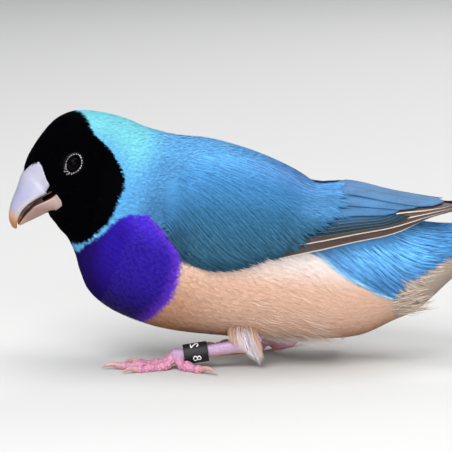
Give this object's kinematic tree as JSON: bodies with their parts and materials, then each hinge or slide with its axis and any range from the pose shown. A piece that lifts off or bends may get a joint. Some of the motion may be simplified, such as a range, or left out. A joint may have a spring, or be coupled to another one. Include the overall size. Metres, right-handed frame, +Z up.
{
  "type": "gouldian finch",
  "caption": "Life-size blue Gouldian finch cock, standing low on both feet with its head bent down and its bill a little open, with a plain black leg band.",
  "frame": {"origin": "on the floor under the middle of the bird's box", "axes": "+Z up, -X the way the bird faces, the bird's left side at -Y"},
  "size_m": [0.1316, 0.0372, 0.0508],
  "materials": {
    "mask_feather": "velvety black feathers",
    "collar_feather": "bright turquoise feathers",
    "body_feather": "soft cream feathers with a violet breast and a blue back",
    "rump_feather": "bright blue loose feathers",
    "wing_feather": "dusky blue feathers with grey-brown quills",
    "tail_feather": "black feathers",
    "thigh_feather": "loose white feathers",
    "leg_skin": "pink scaly skin with horn claws",
    "band": "matt black plastic",
    "bill_horn": "pale horn with an orange tip",
    "eye": "wet black"
  },
  "bodies": {
    "root": {"head": "mask_feather", "neck": "collar_feather", "torso": "body_feather", "rump": "rump_feather", "wing_left": "wing_feather", "wing_right": "wing_feather", "tail": "tail_feather", "thigh_left": "thigh_feather", "thigh_right": "thigh_feather", "leg_left": "leg_skin", "leg_right": "leg_skin", "leg_ring": "band", "bill_upper": "bill_horn", "bill_lower": "bill_horn", "eye_left": "eye", "eye_right": "eye"}
  },
  "joints": []
}
